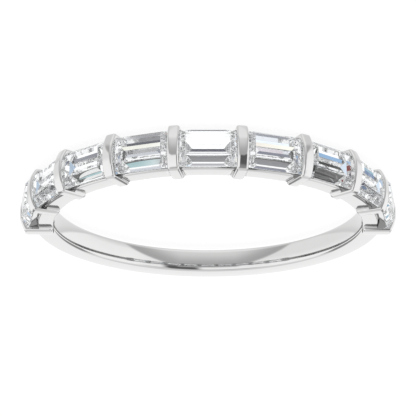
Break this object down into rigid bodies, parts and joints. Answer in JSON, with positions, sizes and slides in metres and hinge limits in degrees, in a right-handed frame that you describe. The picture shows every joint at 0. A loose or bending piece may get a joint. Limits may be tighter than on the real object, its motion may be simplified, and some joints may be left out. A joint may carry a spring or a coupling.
{
  "type": "baguette band finger ring",
  "caption": "Finger ring with straight baguette stones set end to end between arched cross bars on two slim side rails, closed by a plain round shank.",
  "frame": {"origin": "middle of the finger hole", "axes": "+Z along the finger, upwards as the ring lies on its side; -Y from the finger hole to the middle stone"},
  "size_m": [0.0212, 0.0206, 0.0024],
  "materials": {
    "white_metal": "polished white gold",
    "stone": "clear faceted stone, step cut"
  },
  "bodies": {
    "root": {"band": "white_metal", "stone_1": "stone", "stone_2": "stone", "stone_3": "stone", "stone_4": "stone", "stone_5": "stone", "stone_6": "stone", "stone_7": "stone", "stone_8": "stone", "stone_9": "stone"}
  },
  "joints": []
}
